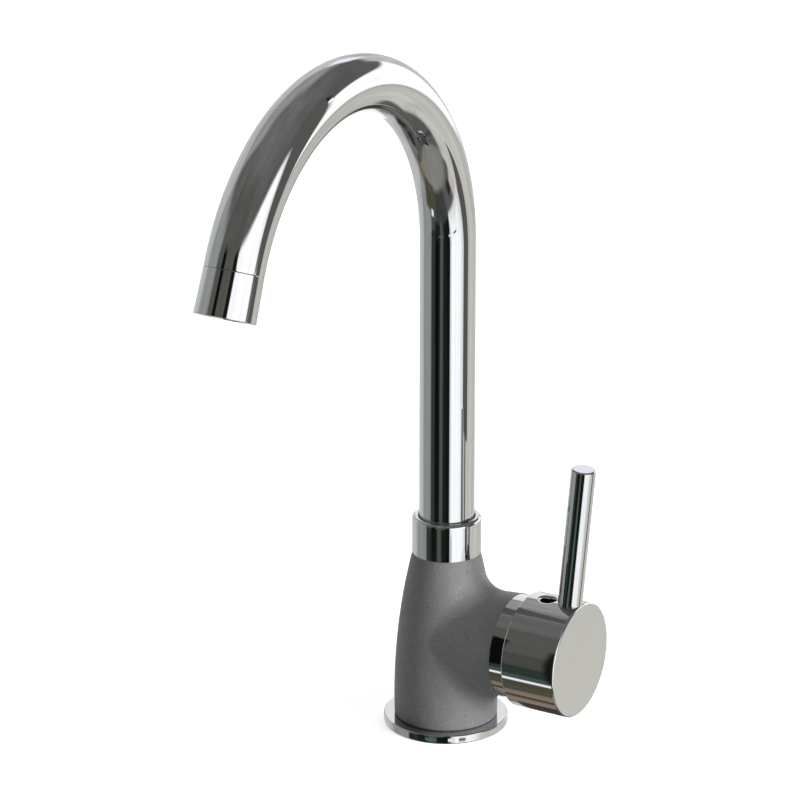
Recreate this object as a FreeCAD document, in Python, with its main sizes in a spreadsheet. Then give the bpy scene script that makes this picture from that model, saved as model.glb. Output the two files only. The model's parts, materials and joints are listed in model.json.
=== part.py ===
"""Kitchen mixer tap with a swan-neck spout and a side handle with a pin lever.

The origin is the centre of the base ring's underside, on the sink or worktop. Z points up, the spout
points along -Y and the handle's axis along +X. Sizes are in millimetres.

The tap comes apart into four groups that move: the standing body, the swivelling spout, the spindle
carrier that turns the ceramic disc for temperature, and the handle, which tilts on the carrier's pin
and slides the disc for flow.
"""
import FreeCAD, Part
import Sketcher
import os
import re

from FreeCAD import Placement, Rotation, Vector

os.makedirs("parts", exist_ok=True)
doc = FreeCAD.newDocument("mixer_tap")

# Driving sizes, one name for each size that can be chosen by itself.
SIZES = {
    # base ring and its seal
    "ring_radius": 30.4,
    "ring_thickness": 4.4,
    "ring_edge_round": 0.7,
    "ring_foot_gap": 0.2,
    "gasket_inner_radius": 21.0,
    "gasket_width": 3.5,
    "gasket_thickness": 1.5,
    # body casting, outside
    "body_widest_radius": 25.3,
    "body_widest_level": 15.0,
    "body_side_arc": 315.0,
    "body_top_level": 88.9,
    "body_edge_round": 1.0,
    "foot_radius": 17.0,
    "foot_depth": 3.2,
    "handle_axis_level": 47.4,
    "stub_root_radius": 23.0,
    "stub_end_radius": 25.4,
    "stub_reach": 37.8,
    "stub_blend": 12.0,
    "neck_radius": 14.9,
    "neck_height": 9.0,
    # body casting, waterways and fixings
    "inlet_radius": 3.2,
    "inlet_thread_radius": 4.5,
    "inlet_thread_depth": 12.0,
    "inlet_back": 3.0,
    "inlet_side": 9.0,
    "drill_run_past": 1.0,
    "stud_thread_radius": 3.4,
    "stud_thread_depth": 14.0,
    "stud_forward": 11.0,
    "outlet_back": 7.5,
    "outlet_radius": 4.0,
    "socket_depth": 18.9,
    # spout, its swivel and its nut
    "spigot_radius": 11.4,
    "spigot_length": 27.9,
    "spigot_plug_length": 11.0,
    "spigot_bore_radius": 8.5,
    "flange_radius": 14.4,
    "flange_thickness": 2.4,
    "glide_ring_thickness": 1.0,
    "swivel_gap": 0.08,
    "nut_radius": 16.7,
    "nut_height": 18.7,
    "nut_top_round": 1.8,
    "nut_lip_gap": 0.35,
    "nut_lip_round": 0.8,
    "thread_gap": 0.05,
    "tube_radius": 13.3,
    "tube_wall": 1.2,
    "riser_top_level": 244.4,
    "bend_radius": 94.9,
    "bend_turn": 157.6,
    "bend_tail": 2.4,
    "seam_bevel": 0.3,
    "plug_gap": 0.05,
    # seals
    "spigot_seal_cord": 0.95,
    "spigot_seal_inset": 6.0,
    "spigot_seal_spacing": 13.0,
    "port_seal_cord": 1.0,
    "port_seal_width": 1.5,
    "port_seal_height": 1.2,
    "carrier_seal_cord": 0.95,
    "carrier_seal_reach": 4.2,
    "groove_side_gap": 0.1,
    # aerator in the spout's mouth
    "aerator_length": 20.4,
    "aerator_mouth_radius": 13.8,
    "aerator_bore_radius": 11.2,
    "aerator_sleeve_length": 6.0,
    "aerator_sleeve_bore": 10.2,
    "aerator_lip_radius": 10.4,
    "aerator_lip_height": 1.5,
    "washer_bore_radius": 8.8,
    "washer_thickness": 2.0,
    "insert_gap": 0.1,
    "insert_hole_radius": 1.0,
    "insert_inner_ring": 3.9,
    "insert_outer_ring": 7.4,
    "insert_plate": 2.5,
    "insert_wall": 1.4,
    "mesh_thickness": 0.6,
    "mesh_pitch": 2.2,
    "mesh_wire": 0.7,
    "mesh_rim": 1.2,
    # ceramic disc cartridge, measured along the handle's axis
    "chamber_floor": 4.0,
    "cartridge_radius": 20.0,
    "chamber_gap": 0.2,
    "base_thickness": 6.0,
    "base_squeeze": 0.2,
    "peg_radius": 2.0,
    "peg_length": 2.4,
    "peg_gap": 0.1,
    "peg_side": 13.5,
    "peg_drop": 4.0,
    "inlet_port_radius": 3.0,
    "inlet_port_side": 6.0,
    "inlet_port_rise": 4.0,
    "outlet_port_drop": 8.0,
    "fixed_disc_radius": 16.0,
    "fixed_disc_thickness": 4.0,
    "key_width": 3.0,
    "key_depth": 1.1,
    "key_height": 2.0,
    "key_gap": 0.1,
    "moving_disc_radius": 13.4,
    "moving_disc_thickness": 3.6,
    "disc_cavity_radius": 7.2,
    "disc_cavity_drop": 3.3,
    "disc_cavity_depth": 2.2,
    "driver_plate": 3.2,
    "driver_boss_height": 4.0,
    "driver_boss_half": 5.3,
    "driver_pocket_depth": 5.0,
    "carrier_lift": 0.3,
    "carrier_radius": 15.9,
    "carrier_length": 11.8,
    "carrier_neck_radius": 12.1,
    "carrier_neck_length": 4.4,
    "carrier_top_gap": 0.1,
    "carrier_slot_side": 0.2,
    "carrier_slot_half": 8.2,
    "boss_room": 0.5,
    "housing_bore_radius": 16.2,
    "housing_nose_radius": 18.2,
    "housing_nose_length": 5.7,
    "housing_cap": 2.0,
    "cartridge_nut_radius": 20.5,
    "cartridge_nut_wall": 2.0,
    "cartridge_nut_gap": 0.3,
    "wrench_slot_width": 4.0,
    "wrench_slot_depth": 2.0,
    "thread_run_out": 1.0,
    # cover ring
    "cover_radius": 25.3,
    "cover_width": 7.6,
    "cover_web": 2.1,
    "cover_hole_radius": 12.5,
    "cover_edge_round": 0.6,
    # lever stem and its pin
    "pivot_reach": 31.0,
    "pivot_pin_radius": 2.0,
    "pivot_pin_half_length": 15.5,
    "pivot_gap": 0.05,
    "stem_side": 8.0,
    "stem_length": 33.0,
    "stem_hub_radius": 5.0,
    "stem_foot_arm": 8.0,
    "stem_foot_radius": 2.8,
    "stem_foot_gap": 0.1,
    "stem_shank_thickness": 3.0,
    "stem_shank_width": 4.4,
    "handle_tilt": 25.0,
    # handle
    "knob_radius": 28.0,
    "knob_length": 28.4,
    "knob_wall": 2.0,
    "knob_face_thickness": 7.8,
    "knob_front_round": 1.0,
    "knob_back_round": 0.9,
    "knob_boss_radius": 10.0,
    "knob_boss_reach": 6.6,
    "socket_gap": 0.05,
    "screw_reach": 10.6,
    "screw_radius": 2.5,
    "screw_length": 8.0,
    "screw_key_radius": 1.3,
    "screw_key_depth": 3.0,
    "screw_pad_radius": 6.0,
    "access_hole_radius": 3.8,
    "access_hole_round": 1.4,
    "pin_reach": 22.2,
    "pin_radius": 5.9,
    "pin_length": 69.5,
    "pin_lean": 5.0,
    "pin_seat": 1.2,
    "pin_top_chamfer": 0.6,
    "pin_stud_radius": 3.0,
    "pin_stud_length": 8.0,
    "pin_pad_radius": 8.0,
    "pin_gap": 0.02,
}

# Places that follow from the sizes, each as a formula.
PLACES = {
    "foot_bottom": "ring_thickness - foot_depth",
    "body_foot_radius": "body_widest_radius - body_side_arc"
                        " + sqrt(body_side_arc^2 - (body_widest_level - ring_thickness)^2)",
    "body_top_radius": "body_widest_radius - body_side_arc"
                       " + sqrt(body_side_arc^2 - (body_top_level - body_widest_level)^2)",
    "neck_top": "body_top_level + neck_height",
    "socket_floor": "body_top_level - socket_depth",
    "socket_radius": "spigot_radius + swivel_gap",
    "flange_bottom": "neck_top + glide_ring_thickness",
    "flange_top": "flange_bottom + flange_thickness",
    "nut_thread_radius": "neck_radius + thread_gap",
    "nut_top": "body_top_level + nut_height",
    "nut_lip_bottom": "flange_top + glide_ring_thickness",
    "nut_lip_bore": "tube_radius + nut_lip_gap",
    "spigot_bottom": "flange_bottom - spigot_length",
    "tube_bore": "tube_radius - tube_wall",
    "spigot_plug_radius": "tube_bore - plug_gap",
    "mouth_y": "-bend_radius + bend_radius * cos(bend_turn) - bend_tail * sin(bend_turn)",
    "mouth_z": "riser_top_level + bend_radius * sin(bend_turn) + bend_tail * cos(bend_turn)",
    "insert_radius": "aerator_bore_radius - insert_gap",
    "mesh_top": "aerator_length - aerator_lip_height - mesh_thickness",
    "chamber_radius": "cartridge_radius + chamber_gap",
    "base_bottom": "chamber_floor + base_squeeze",
    "base_top": "base_bottom + base_thickness",
    "fixed_disc_top": "base_top + fixed_disc_thickness",
    "moving_disc_top": "fixed_disc_top + moving_disc_thickness",
    "driver_top": "moving_disc_top + driver_plate",
    "driver_boss_top": "driver_top + driver_boss_height",
    "disc_travel": "stem_foot_arm * sin(handle_tilt)",
    "disc_rest": "-disc_travel / 2",
    "carrier_bottom": "driver_top + carrier_lift",
    "carrier_shoulder": "carrier_bottom + carrier_length",
    "carrier_top": "carrier_shoulder + carrier_neck_length",
    "housing_cap_bottom": "carrier_shoulder + carrier_top_gap",
    "housing_top": "housing_cap_bottom + housing_cap",
    "housing_shoulder": "housing_top - housing_nose_length",
    "nut_thread_start": "housing_shoulder - thread_run_out",
    "stub_thread_radius": "cartridge_nut_radius + thread_gap",
    "cartridge_nut_bore": "cartridge_nut_radius - cartridge_nut_wall",
    "cover_front": "stub_reach + cover_width",
    "cover_web_back": "cover_front - cover_web",
    "cartridge_nut_front": "cover_web_back - cartridge_nut_gap",
    "knob_back": "cover_front",
    "knob_front": "knob_back + knob_length",
    "knob_cup_floor": "knob_front - knob_face_thickness",
    "knob_bore": "knob_radius - knob_wall",
    "knob_boss_back": "knob_back + knob_boss_reach",
    "stem_end": "pivot_reach + stem_length",
    "screw_x": "knob_back + screw_reach",
    "screw_bottom": "stem_side / 2",
    "screw_top": "screw_bottom + screw_length",
    "pin_x": "knob_back + pin_reach",
}

# The two sheets: plain sizes in the first, worked-out places in the second.
NAMES = {name: "Sizes." + name for name in SIZES}
NAMES.update({name: "Places." + name for name in PLACES})


def full(formula):
    """A formula with each size or place given its sheet's name."""
    return re.sub(r"[a-z][a-z_0-9]*", lambda word: NAMES.get(word.group(), word.group()), formula)


size_sheet = doc.addObject("Spreadsheet::Sheet", "Sizes")
for row, (name, number) in enumerate(SIZES.items(), start=1):
    size_sheet.set("A%d" % row, name.replace("_", " "))
    size_sheet.set("B%d" % row, str(number))
    size_sheet.setAlias("B%d" % row, name)
doc.recompute()

ANGLES = ("bend_turn", "handle_tilt", "pin_lean")
place_sheet = doc.addObject("Spreadsheet::Sheet", "Places")
for row, (name, formula) in enumerate(PLACES.items(), start=1):
    for angle in ANGLES:
        formula = formula.replace("(" + angle + ")", "(" + angle + " * 1deg)")
    place_sheet.set("A%d" % row, name.replace("_", " "))
    place_sheet.set("B%d" % row, "=" + full(formula))
    place_sheet.setAlias("B%d" % row, name)
doc.recompute()


def number(name):
    """The value of one size or place, which may carry a minus sign."""
    bare = name.lstrip("-")
    sheet = size_sheet if bare in SIZES else place_sheet
    value = float(sheet.get(bare))
    return -value if name.startswith("-") else value


working_sheet = doc.addObject("Spreadsheet::Sheet", "Workings")


def value(formula):
    """The value of any formula of sizes and places, worked out in a sheet of its own."""
    working_sheet.set("A1", "=" + full(formula))
    working_sheet.recompute()
    return float(working_sheet.get("A1"))


def bind(thing, **formulas):
    """Binds properties to formulas; a double underscore stands for a dot."""
    for prop, formula in formulas.items():
        thing.setExpression(prop.replace("__", "."), full(formula))


ALONG_X = Rotation(Vector(0, 1, 0), 90)
ALONG_Y = Rotation(Vector(1, 0, 0), -90)
ALONG_Z = Rotation()
AXIS = "handle_axis_level"


def put(thing, x="0", y="0", z="0", turn=ALONG_Z):
    """Places a primitive, with its corner or centre bound to formulas."""
    thing.Placement = Placement(Vector(), turn)
    bind(thing, Placement__Base__x=x, Placement__Base__y=y, Placement__Base__z=z)
    return thing


def rod(name, radius, length, x="0", y="0", z="0", turn=ALONG_Z):
    """A round rod from x, y, z along the turned Z axis."""
    thing = doc.addObject("Part::Cylinder", name)
    bind(thing, Radius=radius, Height=length)
    return put(thing, x, y, z, turn)


def axle(name, radius, start, end, y="0", z="0"):
    """A round rod beside the handle's axis, between two stations along it."""
    return rod(name, radius, "(%s) - (%s)" % (end, start), start, y, AXIS + " + (" + z + ")", ALONG_X)


def brick(name, x, y, z):
    """A block between two stations on each axis, with z counted from the handle's axis."""
    thing = doc.addObject("Part::Box", name)
    bind(thing, Length="(%s) - (%s)" % (x[1], x[0]), Width="(%s) - (%s)" % (y[1], y[0]),
         Height="(%s) - (%s)" % (z[1], z[0]))
    return put(thing, x[0], y[0], AXIS + " + (" + z[0] + ")")


def o_ring(name, middle_radius, cord, x="0", y="0", z="0", turn=ALONG_Z):
    thing = doc.addObject("Part::Torus", name)
    bind(thing, Radius1=middle_radius, Radius2=cord)
    return put(thing, x, y, z, turn)


def join(name, *things):
    thing = doc.addObject("Part::MultiFuse", name)
    thing.Shapes = list(things)
    return thing


def cut(name, base, *tools):
    thing = doc.addObject("Part::Cut", name)
    thing.Base = base
    thing.Tool = tools[0] if len(tools) == 1 else join(name + "_tools", *tools)
    return thing


def overlap(name, first, second):
    thing = doc.addObject("Part::Common", name)
    thing.Base = first
    thing.Tool = second
    return thing


def group(name, *things):
    """Separate alike solids that share one node."""
    thing = doc.addObject("Part::Compound", name)
    thing.Links = list(things)
    return thing


def new_body(name):
    return doc.addObject("PartDesign::Body", name)


def sketch_on(body, role, name, lift=None):
    """A sketch on one of the body's own origin planes, lifted off it where wanted."""
    sketch = body.newObject("Sketcher::SketchObject", name)
    plane = next(plane for plane in body.Origin.OriginFeatures if plane.Role == role)
    sketch.AttachmentSupport = (plane, [""])
    sketch.MapMode = "FlatFace"
    if lift:
        bind(sketch, AttachmentOffset__Base__z=lift)
    return sketch


def pin_point(sketch, shape, end, corner):
    """Ties one end of a sketch line to its corner's two formulas."""
    for kind, formula in zip(("DistanceX", "DistanceY"), corner):
        if formula == "0":
            other_axis = -2 if kind == "DistanceX" else -1
            sketch.addConstraint(Sketcher.Constraint("PointOnObject", shape, end, other_axis))
        else:
            rule = sketch.addConstraint(Sketcher.Constraint(kind, -1, 1, shape, end, value(formula)))
            sketch.setExpression("Constraints[%d]" % rule, full(formula))


def outline(sketch, corners, arcs=None, closed=True):
    """Draws a profile through corners; arcs gives a side's radius and a point that it bulges to."""
    arcs = arcs or {}
    spots = [Vector(value(x), value(y), 0) for x, y in corners]
    sides = len(spots) if closed else len(spots) - 1
    ends = []
    for side in range(sides):
        start, finish = spots[side], spots[(side + 1) % len(spots)]
        if side not in arcs:
            shape = sketch.addGeometry(Part.LineSegment(start, finish), False)
            ends.append((shape, 1, 2))
            continue
        radius, through = arcs[side]
        middle = Vector(value(through[0]), value(through[1]), 0)
        shape = sketch.addGeometry(Part.Arc(start, middle, finish), False)
        forward = sketch.getPoint(shape, 1).distanceToPoint(start) < 1e-6
        ends.append((shape, 1, 2) if forward else (shape, 2, 1))
        rule = sketch.addConstraint(Sketcher.Constraint("Radius", shape, value(radius)))
        sketch.setExpression("Constraints[%d]" % rule, full(radius))
    for side in range(sides):
        shape, first, last = ends[side]
        pin_point(sketch, shape, first, corners[side])
        if closed or side + 1 < sides:
            following = ends[(side + 1) % sides]
            rule = Sketcher.Constraint("Coincident", shape, last, following[0], following[1])
            sketch.addConstraint(rule)
        else:
            pin_point(sketch, shape, last, corners[-1])
    return sketch


def circles(sketch, *rings):
    """Draws circles, each from its centre's two formulas and its radius."""
    for x, y, radius in rings:
        shape = sketch.addGeometry(Part.Circle(Vector(value(x), value(y), 0), Vector(0, 0, 1), value(radius)))
        pin_point(sketch, shape, 3, (x, y))
        rule = sketch.addConstraint(Sketcher.Constraint("Radius", shape, value(radius)))
        sketch.setExpression("Constraints[%d]" % rule, full(radius))
    return sketch


def feature(body, kind, name, sketch, **settings):
    """Adds a PartDesign feature and checks that it changed the solid the way it should."""
    before = body.Shape.Volume if body.Tip else 0.0
    thing = body.newObject("PartDesign::" + kind, name)
    thing.Profile = sketch
    for prop, setting in settings.items():
        if isinstance(setting, str) and prop == "Length":
            bind(thing, Length=setting)
        else:
            setattr(thing, prop, setting)
    sketch.Visibility = False
    doc.recompute()
    change = body.Shape.Volume - before
    removes = kind in ("Pocket", "Groove")
    if (change < -1e-3) != removes:
        raise RuntimeError("%s changed the volume of %s by %.3f" % (name, body.Label, change))
    return thing


def turned(body, name, corners, axis="V_Axis", kind="Revolution", arcs=None):
    """A feature of revolution from a profile in the XZ plane."""
    sketch = outline(sketch_on(body, "XZ_Plane", name + "_profile"), corners, arcs)
    return feature(body, kind, name, sketch, ReferenceAxis=(sketch, [axis]), Angle=360.0)


def on_handle_axis(body):
    """Lifts a body whose own X axis is the handle's axis to its level."""
    bind(body, Placement__Base__z=AXIS)
    return body


def ring_profile(inner, outer, low, high):
    """The four corners of a plain ring, for a revolution about the vertical axis."""
    return [(inner, low), (outer, low), (outer, high), (inner, high)]


def disc_profile(inner, outer, back, front):
    """The four corners of a plain ring, for a revolution about the handle's axis."""
    return [(back, inner), (front, inner), (front, outer), (back, outer)]


def round_edges(body, name, radius, test, kind="Fillet"):
    """Rounds or chamfers the edges that pass a test, and needs at least one."""
    doc.recompute()
    shape = body.Shape
    names = ["Edge%d" % (i + 1) for i, edge in enumerate(shape.Edges) if test(edge)]
    if not names:
        raise RuntimeError("no edge found for " + name)
    before = body.Tip
    thing = body.newObject("PartDesign::" + kind, name)
    thing.Base = (before, names)
    if kind == "Fillet":
        bind(thing, Radius=radius)
    else:
        bind(thing, Size=radius)
    doc.recompute()
    return thing


def is_circle(edge, radius, place, along="z"):
    """True for a full circle of this radius at this station of its axis."""
    curve = edge.Curve
    return (isinstance(curve, Part.Circle) and abs(curve.Radius - radius) < 0.01
            and abs(getattr(curve.Center, along) - place) < 0.01)


# Base ring: a chrome flange that the body stands on, with its seal let into the underside.
base_ring = new_body("base_ring")
turned(base_ring, "flange_turning", [
    ("foot_radius + ring_foot_gap", "0"), ("gasket_inner_radius", "0"),
    ("gasket_inner_radius", "gasket_thickness"),
    ("gasket_inner_radius + gasket_width", "gasket_thickness"),
    ("gasket_inner_radius + gasket_width", "0"), ("ring_radius", "0"),
    ("ring_radius", "ring_thickness"), ("foot_radius + ring_foot_gap", "ring_thickness")])
round_edges(base_ring, "flange_edge", "ring_edge_round",
            lambda edge: is_circle(edge, number("ring_radius"), number("ring_thickness"))
            or is_circle(edge, number("ring_radius"), 0.0))

base_gasket = new_body("base_gasket")
turned(base_gasket, "gasket_turning", ring_profile(
    "gasket_inner_radius", "gasket_inner_radius + gasket_width", "0", "gasket_thickness"))

# Body casting: an upright turned body and a stub for the handle, blended together, then bored out.
body_casting = new_body("body_casting")
turned(body_casting, "upright", [
    ("0", "foot_bottom"), ("foot_radius", "foot_bottom"), ("foot_radius", "ring_thickness"),
    ("body_foot_radius", "ring_thickness"), ("body_top_radius", "body_top_level"),
    ("neck_radius", "body_top_level"), ("neck_radius", "neck_top"), ("0", "neck_top")],
    arcs={3: ("body_side_arc", ("body_widest_radius", "body_widest_level"))})

stub_sketch = outline(sketch_on(body_casting, "XZ_Plane", "stub_profile"), [
    ("0", AXIS), ("stub_reach", AXIS), ("stub_reach", AXIS + " + stub_end_radius"),
    ("0", AXIS + " + stub_root_radius")])
feature(body_casting, "Revolution", "stub", stub_sketch, ReferenceAxis=(stub_sketch, ["Edge1"]), Angle=360.0)


def is_stub_root(edge):
    """True for the curve where the stub leaves the upright body."""
    box = edge.BoundBox
    return (box.XMin > 1.0 and box.XMax < number("stub_reach") - 1.0
            and box.ZMin > number("ring_thickness") + 1.0 and box.ZMax < number("body_top_level") - 1.0
            and not isinstance(edge.Curve, (Part.Circle, Part.Line)))


round_edges(body_casting, "stub_root_blend", "stub_blend", is_stub_root)
round_edges(body_casting, "casting_edges", "body_edge_round",
            lambda edge: is_circle(edge, number("body_foot_radius"), number("ring_thickness")))

chamber_sketch = outline(sketch_on(body_casting, "XZ_Plane", "chamber_profile"), [
    ("chamber_floor", AXIS), ("stub_reach", AXIS), ("stub_reach", AXIS + " + stub_thread_radius"),
    ("nut_thread_start", AXIS + " + stub_thread_radius"), ("nut_thread_start", AXIS + " + chamber_radius"),
    ("chamber_floor", AXIS + " + chamber_radius")])
feature(body_casting, "Groove", "cartridge_chamber", chamber_sketch,
        ReferenceAxis=(chamber_sketch, ["Edge1"]), Angle=360.0)
turned(body_casting, "spout_socket", ring_profile("0", "socket_radius", "socket_floor", "neck_top"),
       kind="Groove")


def drilled(name, role, lift, holes, depth, up=False):
    """Round holes drilled into the casting from one level, all to one depth."""
    sketch = circles(sketch_on(body_casting, role, name + "_centres", lift), *holes)
    feature(body_casting, "Pocket", name, sketch, Length=depth, Reversed=up)


inlet_centres = [("-inlet_back", "inlet_side"), ("-inlet_back", "-inlet_side")]
drilled("hose_threads", "XY_Plane", "foot_bottom",
        [(x, y, "inlet_thread_radius") for x, y in inlet_centres], "inlet_thread_depth", up=True)
drilled("inlet_risers", "XY_Plane", "foot_bottom",
        [(x, y, "inlet_radius") for x, y in inlet_centres],
        AXIS + " + inlet_port_rise + inlet_port_radius + drill_run_past - foot_bottom", up=True)
drilled("stud_thread", "XY_Plane", "foot_bottom", [("stud_forward", "0", "stud_thread_radius")],
        "stud_thread_depth", up=True)
drilled("inlet_crossings", "YZ_Plane", "chamber_floor",
        [(side + "inlet_port_side", AXIS + " + inlet_port_rise", "inlet_port_radius")
         for side in ("", "-")], "chamber_floor + inlet_back")
drilled("outlet_crossing", "YZ_Plane", "chamber_floor",
        [("0", AXIS + " - outlet_port_drop", "outlet_radius")], "chamber_floor + outlet_back")
drilled("outlet_riser", "XY_Plane", "socket_floor", [("-outlet_back", "0", "outlet_radius")],
        "socket_floor - " + AXIS + " + outlet_port_drop")
drilled("peg_holes", "YZ_Plane", "chamber_floor",
        [(side + "peg_side", AXIS + " - peg_drop", "peg_radius + peg_gap") for side in ("", "-")],
        "peg_length")

# Spout nut and the two plastic glide rings that the spout's flange turns between.
spout_nut = new_body("spout_nut")
turned(spout_nut, "nut_turning", [
    ("nut_thread_radius", "body_top_level"), ("nut_radius", "body_top_level"), ("nut_radius", "nut_top"),
    ("nut_lip_bore", "nut_top"), ("nut_lip_bore", "nut_lip_bottom"),
    ("nut_thread_radius", "nut_lip_bottom")])
round_edges(spout_nut, "nut_top_edge", "nut_top_round",
            lambda edge: is_circle(edge, number("nut_radius"), number("nut_top")))
round_edges(spout_nut, "nut_lip_edge", "nut_lip_round",
            lambda edge: is_circle(edge, number("nut_lip_bore"), number("nut_top")))

lower_glide_ring = new_body("lower_glide_ring")
turned(lower_glide_ring, "lower_ring_turning", ring_profile(
    "spigot_radius + swivel_gap", "flange_radius", "neck_top", "flange_bottom"))

upper_glide_ring = new_body("upper_glide_ring")
turned(upper_glide_ring, "upper_ring_turning", ring_profile(
    "tube_radius + swivel_gap", "nut_thread_radius - thread_gap", "flange_top", "nut_lip_bottom"))

# Spout: a turned spigot with two sealing rings, and a bent tube pushed over its plug.
spout_spigot = new_body("spout_spigot")
turned(spout_spigot, "spigot_turning", [
    ("spigot_bore_radius", "spigot_bottom"), ("spigot_radius", "spigot_bottom"),
    ("spigot_radius", "flange_bottom"), ("flange_radius", "flange_bottom"),
    ("flange_radius", "flange_top"), ("spigot_plug_radius", "flange_top"),
    ("spigot_plug_radius", "flange_top + spigot_plug_length"),
    ("spigot_bore_radius", "flange_top + spigot_plug_length")])
seal_levels = ["spigot_bottom + spigot_seal_inset", "spigot_bottom + spigot_seal_inset + spigot_seal_spacing"]
for place, level in zip(("lower", "upper"), seal_levels):
    half = " + spigot_seal_cord + groove_side_gap"
    turned(spout_spigot, place + "_seal_groove", ring_profile(
        "spigot_radius - 2 * spigot_seal_cord", "spigot_radius + 1",
        level + half.replace("+", "-"), level + half), kind="Groove")

spigot_seals = group("spigot_seals", *[
    o_ring(place + "_spigot_seal", "spigot_radius - spigot_seal_cord", "spigot_seal_cord", z=level)
    for place, level in zip(("lower", "upper"), seal_levels)])

spout_tube = new_body("spout_tube")
tube_section = circles(sketch_on(spout_tube, "XY_Plane", "tube_section", "flange_top"),
                       ("0", "0", "tube_radius"), ("0", "0", "tube_bore"))
tube_path = outline(sketch_on(spout_tube, "YZ_Plane", "tube_path"), [
    ("0", "flange_top"), ("0", "riser_top_level"),
    ("-bend_radius + bend_radius * cos(bend_turn * 1deg)",
     "riser_top_level + bend_radius * sin(bend_turn * 1deg)"),
    ("mouth_y", "mouth_z")],
    arcs={1: ("bend_radius", ("-bend_radius", "riser_top_level + bend_radius"))}, closed=False)
doc.recompute()
tube_sweep = spout_tube.newObject("PartDesign::AdditivePipe", "tube_sweep")
tube_sweep.Profile = tube_section
tube_sweep.Spine = (tube_path, ["Edge1", "Edge2", "Edge3"])
tube_section.Visibility = False
tube_path.Visibility = False
round_edges(spout_tube, "mouth_bevel", "seam_bevel",
            lambda edge: is_circle(edge, number("tube_radius"), number("mouth_z")), kind="Chamfer")

# Aerator: modelled on its own axis, with Z along the water's way out, then set in the spout's mouth.
AT_MOUTH = Placement(Vector(0, number("mouth_y"), number("mouth_z")),
                     Rotation(Vector(1, 0, 0), number("bend_turn")))


def at_mouth(thing):
    """Sets an aerator piece at the end of the spout tube, along its axis."""
    thing.Placement = AT_MOUTH
    bind(thing, Placement__Base__y="mouth_y", Placement__Base__z="mouth_z",
         Placement__Rotation__Angle="bend_turn * 1deg")
    return thing


aerator_housing = at_mouth(new_body("aerator_housing"))
turned(aerator_housing, "aerator_turning", [
    ("aerator_sleeve_bore", "-aerator_sleeve_length"), ("tube_bore - plug_gap", "-aerator_sleeve_length"),
    ("tube_bore - plug_gap", "0"), ("tube_radius - seam_bevel", "0"), ("tube_radius", "seam_bevel"),
    ("aerator_mouth_radius", "aerator_length"),
    ("aerator_lip_radius", "aerator_length"),
    ("aerator_lip_radius", "aerator_length - aerator_lip_height"),
    ("aerator_bore_radius", "aerator_length - aerator_lip_height"),
    ("aerator_bore_radius", "0"), ("aerator_sleeve_bore", "0")])

aerator_washer = at_mouth(new_body("aerator_washer"))
turned(aerator_washer, "washer_turning", ring_profile(
    "washer_bore_radius", "insert_radius", "0", "washer_thickness"))

insert_cup = cut(
    "insert_cup",
    rod("insert_block", "insert_radius", "mesh_top - washer_thickness", z="washer_thickness"),
    rod("insert_hollow", "insert_radius - insert_wall", "mesh_top - washer_thickness - insert_plate",
        z="washer_thickness + insert_plate"))
jets = [rod("middle_jet", "insert_hole_radius", "mesh_top")]
for step in range(18):
    ring = "insert_inner_ring" if step < 6 else "insert_outer_ring"
    bearing = "%d * 360deg / %d" % (step, 6 if step < 6 else 12)
    jets.append(rod("jet_%d" % step, "insert_hole_radius", "mesh_top",
                    ring + " * cos(" + bearing + ")", ring + " * sin(" + bearing + ")"))
aerator_insert = at_mouth(cut("aerator_insert", insert_cup, *jets))

wires = []
for step in range(9):
    low = "mesh_pitch * (%d) - mesh_wire / 2" % (step - 4)
    across = doc.addObject("Part::Box", "wire_across_%d" % step)
    bind(across, Length="2 * insert_radius", Width="mesh_wire", Height="mesh_thickness")
    wires.append(put(across, "-insert_radius", low, "mesh_top"))
    along = doc.addObject("Part::Box", "wire_along_%d" % step)
    bind(along, Length="mesh_wire", Width="2 * insert_radius", Height="mesh_thickness")
    wires.append(put(along, low, "-insert_radius", "mesh_top"))
mesh_grid = overlap("mesh_grid", join("mesh_wires", *wires),
                    rod("mesh_limit", "insert_radius - mesh_rim / 2", "mesh_thickness", z="mesh_top"))
mesh_hoop = cut("mesh_hoop", rod("mesh_disc", "insert_radius", "mesh_thickness", z="mesh_top"),
                rod("mesh_window", "insert_radius - mesh_rim", "mesh_thickness", z="mesh_top"))
aerator_mesh = at_mouth(join("aerator_mesh", mesh_hoop, mesh_grid))

# Cartridge base: three ports, sealed below to the body and above to the fixed disc.
PORTS = {
    "left": ("inlet_port_side", "inlet_port_rise", "inlet_port_radius"),
    "right": ("-inlet_port_side", "inlet_port_rise", "inlet_port_radius"),
    "outlet": ("0", "-outlet_port_drop", "outlet_radius"),
}
base_cuts = []
lower_seals = []
upper_seals = []
for port, (side, rise, radius) in PORTS.items():
    base_cuts.append(axle(port + "_base_port", radius, "base_bottom", "base_top", side, rise))
    seal_rim = radius + " + 2 * port_seal_cord + groove_side_gap"
    base_cuts.append(axle(port + "_lower_recess", seal_rim, "base_bottom",
                          "chamber_floor + 2 * port_seal_cord", side, rise))
    lower_seals.append(o_ring(port + "_base_seal", radius + " + port_seal_cord + groove_side_gap / 2",
                              "port_seal_cord", "chamber_floor + port_seal_cord", side,
                              AXIS + " + (" + rise + ")", ALONG_X))
    gland = radius + " + port_seal_width"
    base_cuts.append(axle(port + "_upper_recess", gland, "base_top - port_seal_height", "base_top",
                          side, rise))
    upper_seals.append(cut(
        port + "_port_seal",
        axle(port + "_seal_disc", gland, "base_top - port_seal_height", "base_top", side, rise),
        axle(port + "_seal_bore", radius, "base_top - port_seal_height", "base_top", side, rise)))

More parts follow.
